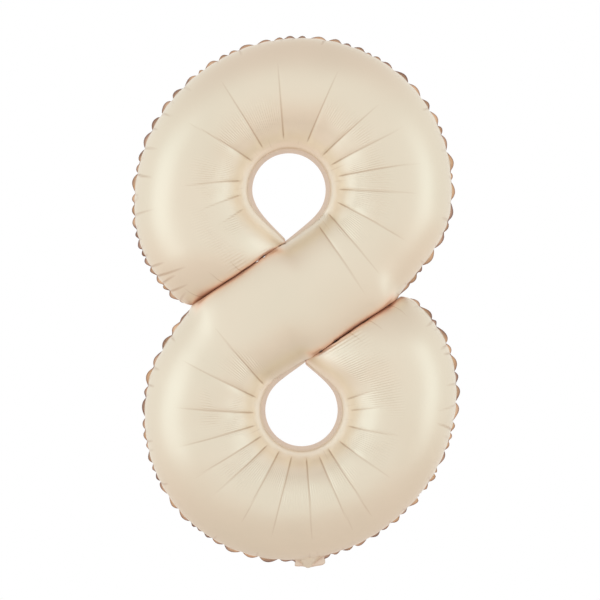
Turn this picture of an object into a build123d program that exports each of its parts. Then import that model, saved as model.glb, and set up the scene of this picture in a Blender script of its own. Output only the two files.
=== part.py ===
"""Foil number balloon, a figure 8 of the 34 inch class, blown up.

Two foil sheets are heat sealed face to face along one outline, which is that
of a fat S: a straight diagonal limb with a lobe curled round an eye at each
end. The tip of each lobe comes back to the side of the diagonal, and a slit
keeps the two seams apart there. Gas is blown in through a flat neck at the
bottom, between two thin valve films, and the tail below the neck is folded
up behind the balloon.

The frame: the origin is the middle of the neck's fold line, where a ribbon
is tied. +Z is up, +X is to the right seen from the front, and the front
faces -Y. Lengths are in millimetres.
"""

from build123d import *
from math import asin, atan2, cos, degrees, hypot, radians, sin, sqrt
import os

# The blown tube: half of its width and half of its depth, inside the seam.
TUBE_HALF_WIDTH = 91.0
TUBE_HALF_DEPTH = 82.0
# Walls stand in for foil of 0.03 mm and valve film of 0.05 mm.
FOIL_WALL = 1.0
VALVE_FILM = 0.3

# The path of the tube's middle line.
UPPER_CENTRE_X = -30.7
UPPER_LOOP_RADIUS = 159.7
UPPER_BEND_RADIUS = 139.0
LOWER_CENTRE_X = -16.1
LOWER_LOOP_RADIUS = 156.9
LOWER_BEND_RADIUS = 126.0
LOOPS_APART_Z = 341.3

# Seams: the flat edge round the outline and the eyes, and the narrow seams
# on both sides of each slit.
SEAM_WIDTH = 6.5
SLIT_SEAM_WIDTH = 2.0
SLIT_WIDTH = 0.6
SLIT_END_RADIUS = 5.5
# How far back from the slit a lobe's tip reaches its full depth.
LOBE_TIP_RUN = 74.0

# The neck and the channel for the valve films inside it. The neck reaches up
# into the tube, so that its channel opens into it over its whole width.
NECK_WIDTH = 49.0
NECK_HEIGHT = 9.0
NECK_REACH = 4.5
CHANNEL_WIDTH = 36.0
FILM_SIDE_GAP = 0.3
FILM_PARTING = 0.05
FOLD_GAP = 0.3

# The valve flaps that the gas presses shut inside the balloon.
FLAP_LENGTH = 64.0

# The tail, folded up behind the balloon from the fold line.
TAIL_LENGTH = 60.0
TAIL_SHEET = 0.8
TAIL_FILM_LENGTH = 46.0

# The body stands on its neck, and the loops on one another.
lower_centre_z = NECK_HEIGHT + SEAM_WIDTH + TUBE_HALF_WIDTH + LOWER_LOOP_RADIUS
upper_centre_z = lower_centre_z + LOOPS_APART_Z
neck_top_z = NECK_HEIGHT + SEAM_WIDTH + FOIL_WALL + NECK_REACH


def front_plane(origin_x, origin_z, toward_x, toward_z):
    """A plane across the tube: local X as given, local Y to the front."""
    origin = Vector(origin_x, 0, origin_z)
    across = Vector(toward_x, 0, toward_z).normalized()
    return Plane(origin=origin, x_dir=across, z_dir=across.cross(Vector(0, -1, 0)))


# Each bend is centred beside its loop's centre, so that both meet smoothly
# at the side of the loop. The diagonal touches both bends.
upper_bend_x = UPPER_CENTRE_X + UPPER_LOOP_RADIUS - UPPER_BEND_RADIUS
lower_bend_x = LOWER_CENTRE_X - LOWER_LOOP_RADIUS + LOWER_BEND_RADIUS
bends_dx = lower_bend_x - upper_bend_x
bends_dz = lower_centre_z - upper_centre_z
bends_apart = hypot(bends_dx, bends_dz)
touch_turn = degrees(asin((UPPER_BEND_RADIUS + LOWER_BEND_RADIUS) / bends_apart))
diagonal_angle = degrees(atan2(bends_dz, bends_dx)) + 180 - touch_turn
side_x = sin(radians(diagonal_angle))
side_z = -cos(radians(diagonal_angle))
diagonal_top_x = upper_bend_x + UPPER_BEND_RADIUS * side_x
diagonal_top_z = upper_centre_z + UPPER_BEND_RADIUS * side_z
diagonal_foot_x = lower_bend_x - LOWER_BEND_RADIUS * side_x
diagonal_foot_z = lower_centre_z - LOWER_BEND_RADIUS * side_z
diagonal_length = hypot(diagonal_top_x - diagonal_foot_x, diagonal_top_z - diagonal_foot_z)

# One row for each loop: its centre, radius, bend centre, bend radius, and the
# direction of its outer side and of its slit from the diagonal.
LOOPS = (
    (UPPER_CENTRE_X, upper_centre_z, UPPER_LOOP_RADIUS, upper_bend_x, UPPER_BEND_RADIUS, 1),
    (LOWER_CENTRE_X, lower_centre_z, LOWER_LOOP_RADIUS, lower_bend_x, LOWER_BEND_RADIUS, -1),
)
# A loop runs free over its crown, and the rest of it is cut at the slit.
CROWN_ARC = 150.0
CURL_ARC = 154.0
bend_arc = 90 - diagonal_angle


def cross_section(plane, half_width, depth, domed):
    """Half of the blown tube in section, or its flat seam where not domed."""
    with BuildSketch(plane) as section:
        if domed:
            Ellipse(half_width, depth)
            Rectangle(2 * half_width, depth, align=(Align.CENTER, Align.MIN), mode=Mode.INTERSECT)
        else:
            Rectangle(2 * half_width, depth, align=(Align.CENTER, Align.MIN))
    return section.sketch


def turned_tube(centre_x, centre_z, radius, start, arc, half_width, depth, domed):
    """A stretch of the tube round one centre, counter-clockwise from the front."""
    out_x = cos(radians(start))
    out_z = sin(radians(start))
    plane = front_plane(centre_x + radius * out_x, centre_z + radius * out_z, out_x, out_z)
    section = cross_section(plane, half_width, depth, domed)
    with BuildPart() as turn:
        revolve(section, axis=Axis((centre_x, 0, centre_z), (0, -1, 0)), revolution_arc=arc)
    return turn.part


def slit_plane(outer, distance):
    """The plane across the slit of the loop on that side of the diagonal."""
    return front_plane(
        diagonal_foot_x - outer * distance * side_x,
        diagonal_foot_z - outer * distance * side_z,
        -outer * side_x,
        -outer * side_z,
    )


def lobe_tip_room(outer, start, inset, depth, domed):
    """The room that a lobe's tip may fill, from its slit outwards."""
    with BuildPart() as room:
        with BuildSketch(slit_plane(outer, start)):
            with Locations((LOBE_TIP_RUN, 0)):
                if domed:
                    Ellipse(LOBE_TIP_RUN - inset, depth)
                Rectangle(6 * TUBE_HALF_WIDTH, depth, align=(Align.MIN, Align.MIN))
            if not domed:
                Rectangle(LOBE_TIP_RUN, depth, align=(Align.MIN, Align.MIN))
            Rectangle(20 * TUBE_HALF_WIDTH, depth, align=(Align.CENTER, Align.MIN), mode=Mode.INTERSECT)
        extrude(amount=8 * TUBE_HALF_WIDTH, both=True)
    return room.part


def s_body(half_width, depth, domed, tip_start, inset):
    """The front half of the whole S, blown or flat, with its lobe tips cut."""
    pieces = []
    for centre_x, centre_z, radius, bend_x, bend_radius, outer in LOOPS:
        side = 0 if outer > 0 else 180
        size = (half_width, depth, domed)
        pieces.append(turned_tube(bend_x, centre_z, bend_radius, side - bend_arc, bend_arc, *size))
        pieces.append(turned_tube(centre_x, centre_z, radius, side, CROWN_ARC, *size))
        curl = turned_tube(centre_x, centre_z, radius, side + CROWN_ARC, CURL_ARC, *size)
        room = lobe_tip_room(outer, tip_start, inset, depth, domed)
        with BuildPart() as tip:
            add(curl)
            add(room, mode=Mode.INTERSECT)
        pieces.append(tip.part)
    straight = front_plane(diagonal_top_x, diagonal_top_z, side_x, side_z)
    section = cross_section(straight, half_width, depth, domed)
    with BuildPart() as body:
        extrude(section, amount=diagonal_length)
        for piece in pieces:
            add(piece)
    return body.part


# The slit runs along the diagonal's edge from the eye to the notch. Both of
# its ends are round, and open into the eye and the notch.
seam_edge = TUBE_HALF_WIDTH + SEAM_WIDTH
slit_start = TUBE_HALF_WIDTH + SLIT_SEAM_WIDTH
tip_start = slit_start + SLIT_WIDTH
slits = []
for centre_x, centre_z, radius, bend_x, bend_radius, outer in LOOPS:
    centre_height = bend_radius + (radius - bend_radius) * side_x
    beside_edge = centre_height - seam_edge
    to_eye = sqrt((radius - seam_edge) ** 2 - beside_edge**2)
    to_notch = sqrt((radius + seam_edge) ** 2 - beside_edge**2)
    along_x = outer * side_z
    along_z = -outer * side_x
    foot_x = centre_x + outer * side_x * (centre_height - slit_start - SLIT_WIDTH / 2)
    foot_z = centre_z + outer * side_z * (centre_height - slit_start - SLIT_WIDTH / 2)
    line = Plane(
        origin=(foot_x, 0, foot_z),
        x_dir=(along_x, 0, along_z),
        z_dir=(0, -1, 0),
    )
    with BuildPart() as slit:
        with BuildSketch(line):
            with Locations(((to_eye + to_notch) / 2, 0)):
                Rectangle(to_notch - to_eye, SLIT_WIDTH)
            with Locations((to_eye, 0), (to_notch, 0)):
                Circle(SLIT_END_RADIUS)
        extrude(amount=FOIL_WALL)
    slits.append(slit.part)

blown_outside = s_body(
    TUBE_HALF_WIDTH, TUBE_HALF_DEPTH, True, tip_start + SLIT_SEAM_WIDTH, 0
)
blown_inside = s_body(
    TUBE_HALF_WIDTH - FOIL_WALL,
    TUBE_HALF_DEPTH - FOIL_WALL,
    True,
    tip_start + SLIT_SEAM_WIDTH,
    FOIL_WALL,
)
flat_seam = s_body(seam_edge, FOIL_WALL, False, tip_start, 0)

film_outer_y = FILM_PARTING + VALVE_FILM

with BuildPart() as front_panel:
    add(flat_seam)
    for slit in slits:
        add(slit, mode=Mode.SUBTRACT)
    add(blown_outside)
    # the flat neck, and the half-round bead along its fold line
    with BuildSketch(Plane.XZ):
        Rectangle(NECK_WIDTH, neck_top_z, align=(Align.CENTER, Align.MIN))
    extrude(amount=FOIL_WALL)
    with BuildSketch(Plane.YZ.offset(-NECK_WIDTH / 2)):
        Circle(FOIL_WALL)
        Rectangle(FOIL_WALL, 2 * FOIL_WALL, align=(Align.MAX, Align.CENTER), mode=Mode.INTERSECT)
    extrude(amount=NECK_WIDTH)
    add(blown_inside, mode=Mode.SUBTRACT)
    # the channel that holds one valve film
    with BuildSketch(Plane.XZ.offset(0)):
        with Locations((0, -FOIL_WALL)):
            Rectangle(CHANNEL_WIDTH, neck_top_z + FOIL_WALL, align=(Align.CENTER, Align.MIN))
    extrude(amount=film_outer_y, mode=Mode.SUBTRACT)
front_panel.part.label = "front_panel"

with BuildPart() as back_panel:
    mirror(front_panel.part, about=Plane.XZ)
back_panel.part.label = "back_panel"

film_width = CHANNEL_WIDTH - 2 * FILM_SIDE_GAP

with BuildPart() as valve_neck_front_film:
    with BuildSketch(Plane.XZ.offset(FILM_PARTING)):
        with Locations((0, FOLD_GAP)):
            Rectangle(film_width, neck_top_z - FOLD_GAP, align=(Align.CENTER, Align.MIN))
    extrude(amount=VALVE_FILM)
valve_neck_front_film.part.label = "valve_neck_front_film"

with BuildPart() as valve_neck_back_film:
    mirror(valve_neck_front_film.part, about=Plane.XZ)
valve_neck_back_film.part.label = "valve_neck_back_film"

with BuildPart() as valve_front_flap:
    with BuildSketch(Plane.XZ.offset(FILM_PARTING)):
        with Locations((0, neck_top_z + FOLD_GAP)):
            Rectangle(film_width, FLAP_LENGTH, align=(Align.CENTER, Align.MIN))
    extrude(amount=VALVE_FILM)
valve_front_flap.part.label = "valve_front_flap"

with BuildPart() as valve_back_flap:
    mirror(valve_front_flap.part, about=Plane.XZ)
valve_back_flap.part.label = "valve_back_flap"

# The folded tail leans on the back of the lowest tube, so it rises along the
# line from the fold that touches the tube, less the tail's own thickness. It
# starts where its near corner clears the neck's flat side.
tail_room = TAIL_SHEET + FOLD_GAP
tube_height = lower_centre_z - LOWER_LOOP_RADIUS
rise = atan2(
    sqrt(tube_height**2 - (TUBE_HALF_WIDTH + tail_room) ** 2),
    TUBE_HALF_DEPTH + tail_room,
)
tail_start = (FOIL_WALL + FOLD_GAP + TAIL_SHEET * sin(rise)) / cos(rise)
tail_plane = Plane(origin=(0, 0, 0), x_dir=(1, 0, 0), z_dir=(0, -sin(rise), cos(rise)))

with BuildPart() as tail_back_sheet:
    with BuildSketch(tail_plane):
        with Locations((0, tail_start)):
            Rectangle(NECK_WIDTH, TAIL_LENGTH, align=(Align.CENTER, Align.MIN))
    extrude(amount=TAIL_SHEET)
    with BuildSketch(tail_plane):
        with Locations((0, tail_start - FOLD_GAP)):
            Rectangle(CHANNEL_WIDTH, TAIL_FILM_LENGTH + FOLD_GAP, align=(Align.CENTER, Align.MIN))
    extrude(amount=film_outer_y, mode=Mode.SUBTRACT)
tail_back_sheet.part.label = "tail_back_sheet"

with BuildPart() as tail_front_sheet:
    mirror(tail_back_sheet.part, about=tail_plane)
tail_front_sheet.part.label = "tail_front_sheet"

with BuildPart() as tail_valve_back_film:
    with BuildSketch(tail_plane.offset(FILM_PARTING)):
        with Locations((0, tail_start)):
            Rectangle(film_width, TAIL_FILM_LENGTH - FILM_SIDE_GAP, align=(Align.CENTER, Align.MIN))
    extrude(amount=VALVE_FILM)
tail_valve_back_film.part.label = "tail_valve_back_film"

with BuildPart() as tail_valve_front_film:
    mirror(tail_valve_back_film.part, about=tail_plane)
tail_valve_front_film.part.label = "tail_valve_front_film"

os.makedirs("parts", exist_ok=True)
for piece in (
    front_panel,
    back_panel,
    valve_neck_front_film,
    valve_neck_back_film,
    valve_front_flap,
    valve_back_flap,
    tail_front_sheet,
    tail_back_sheet,
    tail_valve_front_film,
    tail_valve_back_film,
):
    export_step(piece.part, "parts/" + piece.part.label + ".step")
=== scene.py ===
import math
import random

import bmesh
import bpy
import numpy as np
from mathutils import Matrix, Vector


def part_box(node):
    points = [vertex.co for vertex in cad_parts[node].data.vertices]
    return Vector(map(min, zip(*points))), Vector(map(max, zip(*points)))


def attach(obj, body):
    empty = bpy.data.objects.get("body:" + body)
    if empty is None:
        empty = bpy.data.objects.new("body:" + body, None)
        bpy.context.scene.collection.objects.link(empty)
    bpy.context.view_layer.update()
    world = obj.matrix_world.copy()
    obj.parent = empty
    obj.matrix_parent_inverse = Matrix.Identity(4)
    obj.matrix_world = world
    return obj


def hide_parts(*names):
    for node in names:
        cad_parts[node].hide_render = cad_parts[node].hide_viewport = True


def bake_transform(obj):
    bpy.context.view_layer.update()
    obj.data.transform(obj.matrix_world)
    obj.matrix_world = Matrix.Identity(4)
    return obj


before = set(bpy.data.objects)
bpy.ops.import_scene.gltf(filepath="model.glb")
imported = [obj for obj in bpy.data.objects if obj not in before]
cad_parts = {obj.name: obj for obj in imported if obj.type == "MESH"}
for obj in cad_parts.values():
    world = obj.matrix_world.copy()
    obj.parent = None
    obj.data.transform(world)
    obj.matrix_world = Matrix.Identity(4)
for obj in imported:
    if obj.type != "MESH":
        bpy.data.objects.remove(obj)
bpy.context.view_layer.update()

# ---------------------------------------------------------------------------
# The cutting line. Both foil sheets are cut and sealed along one outline, a
# fat S whose two lobes curl round the eyes and come back to the diagonal.
# Places are metres in the object's own frame, as (x, z).

SEAM_WIDTH = 0.0053
EYE_SEAM_WIDTH = 0.0076
SLIT_SEAM_WIDTH = 0.0016
UPPER_OUTLINE = (-0.0274, 0.5984)
UPPER_OUTLINE_RADIUS = 0.2622
UPPER_OUTLINE_LEAN = 0.0060
UPPER_EYE = (-0.0339, 0.6096)
UPPER_EYE_RADIUS = 0.0597
LOWER_OUTLINE = (-0.0152, 0.2648)
LOWER_OUTLINE_RADIUS = 0.2572
LOWER_OUTLINE_LEAN = 0.0098
LOWER_EYE = (-0.0137, 0.2546)
LOWER_EYE_RADIUS = 0.0589
UPPER_EYE_TIP = (-0.0355, 0.5257)
LOWER_EYE_TIP = (-0.0113, 0.3321)
LEFT_NOTCH = (-0.1920, 0.4224)
RIGHT_NOTCH = (0.1404, 0.4337)
DIAGONAL_MIDDLE = np.array((-0.0242, 0.4289))
DIAGONAL_HALF_WIDTH = 0.0880
LOBE_END_TUCK = 0.0170
diagonal_tilt = math.radians(34.2)
down_diagonal = np.array((-math.cos(diagonal_tilt), -math.sin(diagonal_tilt)))
across_diagonal = np.array((math.sin(diagonal_tilt), -math.cos(diagonal_tilt)))
LINE_STEP = 0.001


def polar(centre, radius, degrees):
    """A point on a circle, by its angle from +X towards +Z."""
    angle = math.radians(degrees)
    return (centre[0] + radius * math.cos(angle), centre[1] + radius * math.sin(angle))


def circle_run(centre, radius, start, stop):
    """Points along a circle from one angle to another."""
    return [polar(centre, radius, angle) for angle in np.linspace(start, stop, 240)]


def upper_rim(degrees, out=1.0):
    """A point on the upper outline, fullest to the upper right, tighter at the lobe's end."""
    lean = UPPER_OUTLINE_LEAN * math.sin(math.radians(2 * degrees))
    lean -= LOBE_END_TUCK * max((degrees - 188) / 37, 0) ** 2
    return polar(UPPER_OUTLINE, (UPPER_OUTLINE_RADIUS - SEAM_WIDTH + lean) * out, degrees)


def lower_rim(degrees, out=1.0):
    """A point on the lower outline, fullest to the lower left, tighter at the lobe's end."""
    lean = LOWER_OUTLINE_LEAN * math.sin(math.radians(2 * degrees))
    lean -= LOBE_END_TUCK * max((degrees - 368) / 37, 0) ** 2
    return polar(LOWER_OUTLINE, (LOWER_OUTLINE_RADIUS - SEAM_WIDTH + lean) * out, degrees)


def meets_slit(rim, near, side):
    """The angle at which an outline comes down to the lobe's side of a slit."""
    angles = np.linspace(near - 12, near + 12, 481)
    away = [np.dot(np.array(rim(a)) - DIAGONAL_MIDDLE, across_diagonal) * side for a in angles]
    return float(angles[np.argmin(np.abs(np.array(away) - DIAGONAL_HALF_WIDTH - SLIT_SEAM_WIDTH))])


def down(point):
    """How far down the diagonal a point lies from its middle."""
    return float(np.dot(np.array(point) - DIAGONAL_MIDDLE, down_diagonal))


def diagonal_edge(side, distance, inset=SLIT_SEAM_WIDTH):
    """A point on the diagonal's upper (-1) or lower (+1) side."""
    away = across_diagonal * side * (DIAGONAL_HALF_WIDTH - inset)
    return DIAGONAL_MIDDLE + down_diagonal * distance + away


def eased(start, leave, arrive, stop):
    """A round corner from one point to another, past the two given bends."""
    t = np.linspace(0, 1, 60)[:, None]
    p = [np.array(v) for v in (start, leave, arrive, stop)]
    line = p[0] * (1 - t) ** 3 + 3 * p[1] * t * (1 - t) ** 2 + 3 * p[2] * t**2 * (1 - t) + p[3] * t**3
    return list(line)


def line_lengths(line):
    """Length along a line up to each of its points."""
    steps = np.linalg.norm(np.diff(line, axis=0), axis=1)
    return np.concatenate([[0], np.cumsum(steps)])


def even_line(points):
    """The same line with a point every millimetre, and its corners eased."""
    points = np.array([tuple(p) for p in points])
    lengths = line_lengths(points)
    even = np.linspace(0, lengths[-1], int(lengths[-1] / LINE_STEP))
    line = np.stack([np.interp(even, lengths, points[:, k]) for k in (0, 1)], 1)
    reach = 8
    kernel = np.ones(2 * reach + 1) / (2 * reach + 1)
    for _ in range(3):
        ends = (2 * line[0] - line[reach:0:-1], 2 * line[-1] - line[-2 : -reach - 2 : -1])
        padded = np.concatenate([ends[0], line, ends[1]])
        line = np.stack([np.convolve(padded[:, k], kernel, "valid") for k in (0, 1)], 1)
    return line


upper_eye_seam = UPPER_EYE_RADIUS + EYE_SEAM_WIDTH
lower_eye_seam = LOWER_EYE_RADIUS + EYE_SEAM_WIDTH
left_down = down(LEFT_NOTCH)
right_down = down(RIGHT_NOTCH)
left_line_end = diagonal_edge(-1, left_down - 0.014)
right_line_end = diagonal_edge(1, right_down + 0.014)
left_landing = 171
right_landing = -8
corner_out = 1 / math.cos(math.radians(9))
round_out = 1 / math.cos(math.radians(22))

# Where the slits begin, and the lobes' corners that lie in them.
upper_slit_start = down(UPPER_EYE_TIP) + 0.012
lower_slit_start = down(LOWER_EYE_TIP) - 0.012
upper_corner = diagonal_edge(-1, down(UPPER_EYE_TIP) + 0.002, -SLIT_SEAM_WIDTH)
lower_corner = diagonal_edge(1, down(LOWER_EYE_TIP) - 0.002, -SLIT_SEAM_WIDTH)
upper_slit = diagonal_edge(-1, upper_slit_start)
lower_slit = diagonal_edge(1, lower_slit_start)

# Line A is the upper eye, the diagonal's upper side and the lower outline.
line_a = even_line(
    eased(
        upper_corner,
        upper_corner + np.array((-0.0145, 0.0145)),
        polar(UPPER_EYE, upper_eye_seam * round_out, 212),
        polar(UPPER_EYE, upper_eye_seam, 190),
    )
    + circle_run(UPPER_EYE, upper_eye_seam, 190, -40)
    + eased(
        polar(UPPER_EYE, upper_eye_seam, -40),
        polar(UPPER_EYE, upper_eye_seam * corner_out, -49),
        upper_slit - down_diagonal * 0.018,
        upper_slit,
    )
    + [diagonal_edge(-1, d) for d in np.linspace(upper_slit_start, left_down - 0.016, 40)]
    + eased(
        left_line_end,
        left_line_end + down_diagonal * 0.030,
        lower_rim(left_landing - 9, corner_out),
        lower_rim(left_landing),
    )
    + [lower_rim(a) for a in np.linspace(left_landing, meets_slit(lower_rim, 407, 1), 240)]
)
# Line B is the upper outline, the diagonal's lower side and the lower eye.
line_b = even_line(
    [upper_rim(a) for a in np.linspace(meets_slit(upper_rim, 227, -1), right_landing, 240)]
    + eased(
        upper_rim(right_landing),
        upper_rim(right_landing - 9, corner_out),
        right_line_end - down_diagonal * 0.030,
        right_line_end,
    )
    + [diagonal_edge(1, d) for d in np.linspace(right_down + 0.016, lower_slit_start, 40)]
    + eased(
        lower_slit,
        lower_slit + down_diagonal * 0.018,
        polar(LOWER_EYE, lower_eye_seam * corner_out, 131),
        polar(LOWER_EYE, lower_eye_seam, 140),
    )
    + circle_run(LOWER_EYE, lower_eye_seam, 140, 378)
    + eased(
        polar(LOWER_EYE, lower_eye_seam, 378),
        polar(LOWER_EYE, lower_eye_seam * round_out, 398),
        lower_corner + np.array((0.0145, -0.0125)),
        lower_corner,
    )
)
lengths_a = line_lengths(line_a)
lengths_b = line_lengths(line_b)


def length_at(line, lengths, point, after=0.0):
    """Where along a line it passes nearest to a point."""
    away = np.linalg.norm(line - np.array(point), axis=1) + 9 * (lengths < after)
    return lengths[np.argmin(away)]


# Where the tube is cut across: pairs of points on the two lines, from the
# tip of the upper lobe to the tip of the lower one.
CROSSINGS = [(0.0, 0.0)]
for eye_angle, rim_angle in ((180, 183), (135, 135), (90, 90), (45, 45), (0, -2)):
    a = length_at(line_a, lengths_a, polar(UPPER_EYE, upper_eye_seam, eye_angle))
    CROSSINGS.append((a, length_at(line_b, lengths_b, upper_rim(rim_angle))))
CROSSINGS.append(
    (
        length_at(line_a, lengths_a, polar(UPPER_EYE, upper_eye_seam, -32)),
        length_at(line_b, lengths_b, diagonal_edge(1, right_down)),
    )
)
for eye in (UPPER_EYE, LOWER_EYE):
    a = length_at(line_a, lengths_a, diagonal_edge(-1, down(eye)), 0.2)
    CROSSINGS.append((a, length_at(line_b, lengths_b, diagonal_edge(1, down(eye)))))
CROSSINGS.append(
    (
        length_at(line_a, lengths_a, diagonal_edge(-1, left_down)),
        length_at(line_b, lengths_b, polar(LOWER_EYE, lower_eye_seam, 148)),
    )
)
for rim_angle, eye_angle in ((180, 182), (225, 225), (270, 270), (315, 315), (0, 0)):
    a = length_at(line_a, lengths_a, lower_rim(rim_angle), 0.6)
    CROSSINGS.append((a, length_at(line_b, lengths_b, polar(LOWER_EYE, lower_eye_seam, eye_angle), 1.2)))
CROSSINGS.append((lengths_a[-1], lengths_b[-1]))
crossings = np.array(CROSSINGS)
path_keys = np.concatenate([[0], np.cumsum(np.diff(crossings, axis=0).mean(1))])
path_length = path_keys[-1]


def along_keys(values, wanted):
    """A smooth curve through the values at the crossings that never turns back."""
    step = np.diff(path_keys)
    slope = np.diff(values) / step
    tangent = np.empty(len(values))
    tangent[0], tangent[-1] = slope[0], slope[-1]
    before, after = 2 * step[1:] + step[:-1], step[1:] + 2 * step[:-1]
    tangent[1:-1] = (before + after) / (before / slope[:-1] + after / slope[1:])
    k = np.clip(np.searchsorted(path_keys, wanted) - 1, 0, len(step) - 1)
    t = (wanted - path_keys[k]) / step[k]
    return (
        (2 * t**3 - 3 * t**2 + 1) * values[k]
        + (t**3 - 2 * t**2 + t) * step[k] * tangent[k]
        + (3 * t**2 - 2 * t**3) * values[k + 1]
        + (t**3 - t**2) * step[k] * tangent[k + 1]
    )


# ---------------------------------------------------------------------------
# The blown tube. Gas swells each half of it to a half round, and the tips of
# the lobes close in a quarter round.

TUBE_DEPTH = 0.081
DIAGONAL_DEPTH = 0.077
TIP_RUN = 0.075
STEEPER = 0.50
WALL_LEAN = 0.0095
WALL_CLEARANCE = 0.0001
GAP_OPENING = 0.0018
GAP_HALF_LENGTH = 0.0020
EYE_CORNER = 0.007
RIM_CORNER = 0.022
STATIONS = 960
ROWS = 46

quarter = TIP_RUN * math.pi / 2
walk = np.linspace(0, path_length - 2 * TIP_RUN + 2 * quarter, STATIONS + 1)
path = np.where(
    walk < quarter,
    TIP_RUN * (1 - np.cos(walk / TIP_RUN)),
    np.where(
        walk > walk[-1] - quarter,
        path_length - TIP_RUN * (1 - np.cos((walk[-1] - walk) / TIP_RUN)),
        walk - quarter + TIP_RUN,
    ),
)
at_a = along_keys(crossings[:, 0], path)
at_b = along_keys(crossings[:, 1], path)
side_a = np.stack([np.interp(at_a, lengths_a, line_a[:, k]) for k in (0, 1)], 1)
side_b = np.stack([np.interp(at_b, lengths_b, line_b[:, k]) for k in (0, 1)], 1)
to_tip = np.minimum(path, path_length - path)
tip_depth = (1 - np.clip(1 - to_tip / TIP_RUN, 0, 1) ** 2) ** (0.5 * (1 - STEEPER))
upper_half = path < path_length / 2
across = (side_b - side_a) / np.linalg.norm(side_b - side_a, axis=1)[:, None]


def rounding(radius):
    """How far a tip's corner of a radius draws the seam in at each station."""
    corner = np.clip(1 - to_tip / radius, 0, 1)
    return radius * (1 - np.sqrt(1 - corner**2))


side_a = side_a + across * rounding(np.where(upper_half, EYE_CORNER, RIM_CORNER))[:, None]
side_b = side_b - across * rounding(np.where(upper_half, RIM_CORNER, EYE_CORNER))[:, None]
middle = np.exp(-(((path - path_length / 2) / 0.16) ** 4))
depth = (TUBE_DEPTH + (DIAGONAL_DEPTH - TUBE_DEPTH) * middle) * tip_depth
even_rows = np.linspace(0, 1, ROWS + 1)
turn = math.pi * (even_rows - 0.5 * np.sin(2 * math.pi * even_rows) / (2 * math.pi))

# The walls that press against each other in the slits stand steeper.
blur = np.hanning(41) / np.hanning(41).sum()


def between(values, start, stop, kernel=blur):
    """One inside a run of a side line, easing to nothing at its ends."""
    return np.convolve(((values > start) & (values < stop)).astype(float), kernel, "same")


notch_a = length_at(line_a, lengths_a, diagonal_edge(-1, left_down))
notch_b = length_at(line_b, lengths_b, diagonal_edge(1, right_down))
slit_a = length_at(line_a, lengths_a, upper_slit)
slit_b = length_at(line_b, lengths_b, lower_slit)
in_slit_a = between(at_a, slit_a, notch_a)
in_slit_b = between(at_b, notch_b, slit_b)
steep = 1 - STEEPER * np.where(turn < math.pi / 2, in_slit_a[:, None], in_slit_b[:, None])
share = (1 - np.cos(turn)) / 2
flat = side_a[:, None] * (1 - share)[None, :, None] + side_b[:, None] * share[None, :, None]
swelled = np.maximum(np.sin(turn), 0) ** steep
smooth_tube = np.stack([flat[..., 0], -depth[:, None] * swelled, flat[..., 1]], -1)

# In the slits the swelled walls lean over their seams until they touch.
off_seam = 1 - np.exp(smooth_tube[..., 1] / 0.005)
from_side = 1 - np.cos(turn)
UPPER_GAPS = (-0.031, 0.0, 0.013)
LOWER_GAPS = (-0.018, 0.010)


def gaps(points, upper):
    """One at the small gaps left between the seams of a slit."""
    downs = (points - DIAGONAL_MIDDLE) @ down_diagonal
    places = UPPER_GAPS if upper else LOWER_GAPS
    return sum(np.exp(-(((downs - at) / GAP_HALF_LENGTH) ** 2)) for at in places)


touch = np.hanning(17) / np.hanning(17).sum()
touch_a = between(at_a, slit_a, notch_a, touch)
touch_b = between(at_b, notch_b, slit_b, touch)
near_tip = np.exp(-((to_tip / 0.025) ** 2))[:, None]
lean_out = off_seam * (
    touch_b[:, None] * np.exp(-(((1 + np.cos(turn)) / 0.5) ** 2))
    - touch_a[:, None] * np.exp(-((from_side / 0.5) ** 2))
    + np.where(upper_half, 1, -1)[:, None] * near_tip
)
off_middle = (smooth_tube[..., 0::2] - DIAGONAL_MIDDLE) @ across_diagonal
leant = off_middle + WALL_LEAN * lean_out
upper_gaps = gaps(flat, True)
lower_gaps = gaps(flat, False)
opening = WALL_CLEARANCE + GAP_OPENING * np.where(turn < math.pi / 2, upper_gaps, lower_gaps)
inside_wall = DIAGONAL_HALF_WIDTH - opening
inside_wall = np.clip(leant, -inside_wall, inside_wall)
on_upper_lobe = upper_half[:, None]
opening = WALL_CLEARANCE + GAP_OPENING * np.where(on_upper_lobe, upper_gaps, lower_gaps)
beside_wall = DIAGONAL_HALF_WIDTH + opening
above = np.minimum(leant, -beside_wall)
below = np.maximum(leant, beside_wall)
beside_wall = np.where(on_upper_lobe, above, below)
held = np.where(turn < math.pi / 2, touch_a[:, None], touch_b[:, None])
leant += held * (inside_wall - leant) + near_tip * (beside_wall - leant)
smooth_tube[..., 0] += (leant - off_middle) * across_diagonal[0]
smooth_tube[..., 2] += (leant - off_middle) * across_diagonal[1]


def spans(points, axis):
    """Lengths between neighbouring points, summed from the start of the axis."""
    steps = np.linalg.norm(np.diff(points, axis=axis), axis=2)
    return np.insert(np.cumsum(steps, axis=axis), 0, 0, axis=axis)


from_a = spans(smooth_tube, 1)
from_b = from_a[:, -1:] - from_a
stretch = np.linalg.norm(np.gradient(smooth_tube, axis=0), axis=2) / np.gradient(path)[:, None]
tangent_u = np.gradient(smooth_tube, axis=0)
tangent_v = np.gradient(smooth_tube, axis=1)
outward = np.cross(tangent_v, tangent_u)
outward /= np.maximum(np.linalg.norm(outward, axis=2), 1e-12)[..., None]
if outward[STATIONS // 2, ROWS // 2, 1] > 0:
    outward = -outward

# ---------------------------------------------------------------------------
# The folds. The flat film is too long for the blown shape, so its outer seam
# gathers in puckers, long creases run out from the eyes' seams over the tube
# and short ones start at the lobes' ends and at the slits.

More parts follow.
